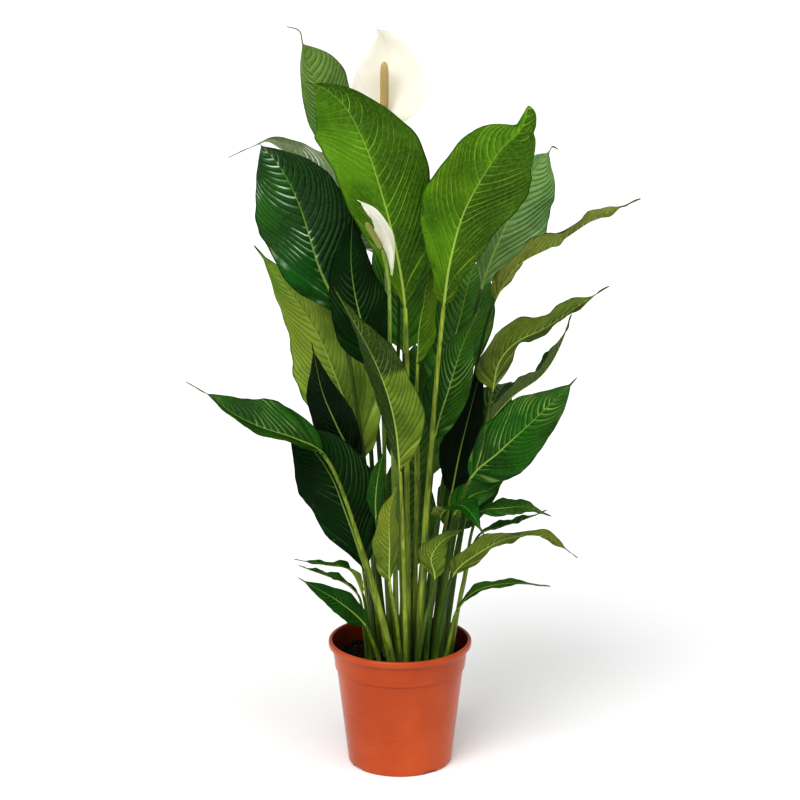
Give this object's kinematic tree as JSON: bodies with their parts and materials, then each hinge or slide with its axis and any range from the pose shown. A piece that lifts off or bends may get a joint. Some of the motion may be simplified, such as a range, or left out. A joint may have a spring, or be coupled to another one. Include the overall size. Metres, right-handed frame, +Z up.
{
  "type": "potted peace lily",
  "caption": "Tall peace lily in a tapered nursery pot: long-stalked pointed leaves and white blooms standing in potting soil.",
  "frame": {"origin": "centre of the pot's base, on the surface it stands on", "axes": "+Z up along the pot's axis, the plant's front looks along -Y, +X to the right seen from the front"},
  "size_m": [0.6347, 0.4718, 1.0816],
  "materials": {
    "pot": "satin moulded terracotta-coloured plastic",
    "soil": "dark crumbly peat and bark potting mix",
    "leaf": "glossy dark green upper side, matte yellow-green underside",
    "stem": "smooth light green flower stalk",
    "spathe": "soft matte white",
    "spadix": "knobbly cream"
  },
  "bodies": {
    "root": {"pot": "pot", "soil": "soil", "leaf_top_right": "leaf", "leaf_top_centre": "leaf", "leaf_top_back": "leaf", "leaf_upper_left": "leaf", "leaf_upper_left_arching": "leaf", "leaf_upper_right_pale": "leaf", "leaf_upper_right_reaching": "leaf", "leaf_inner_left": "leaf", "leaf_inner_upright": "leaf", "leaf_inner_folded": "leaf", "leaf_mid_right_arching": "leaf", "leaf_mid_right_rolled": "leaf", "leaf_mid_right_broad": "leaf", "leaf_mid_right_shaded": "leaf", "leaf_mid_right_inner": "leaf", "leaf_mid_left_light": "leaf", "leaf_mid_left_shaded": "leaf", "leaf_mid_left_reaching": "leaf", "leaf_low_left_broad": "leaf", "leaf_low_left_small": "leaf", "leaf_low_left_thin": "leaf", "leaf_low_left_thin_back": "leaf", "leaf_low_centre_small": "leaf", "leaf_low_centre_pale": "leaf", "leaf_low_right_shaded": "leaf", "leaf_low_right_front": "leaf", "leaf_low_right_bright": "leaf", "leaf_low_right_thin": "leaf", "leaf_low_right_arching": "leaf", "leaf_low_right_bent": "leaf", "leaf_low_right_small": "leaf", "leaf_back_top": "leaf", "leaf_back_upper_left": "leaf", "leaf_back_upper_right": "leaf", "leaf_back_mid": "leaf", "leaf_back_mid_left": "leaf", "leaf_back_mid_right": "leaf", "leaf_back_low_left": "leaf", "leaf_back_low_right": "leaf", "leaf_back_low": "leaf", "bloom_high_stem": "stem", "bloom_high_spathe": "spathe", "bloom_high_spadix": "spadix", "bloom_low_stem": "stem", "bloom_low_spathe": "spathe", "bloom_low_spadix": "spadix"}
  },
  "joints": []
}
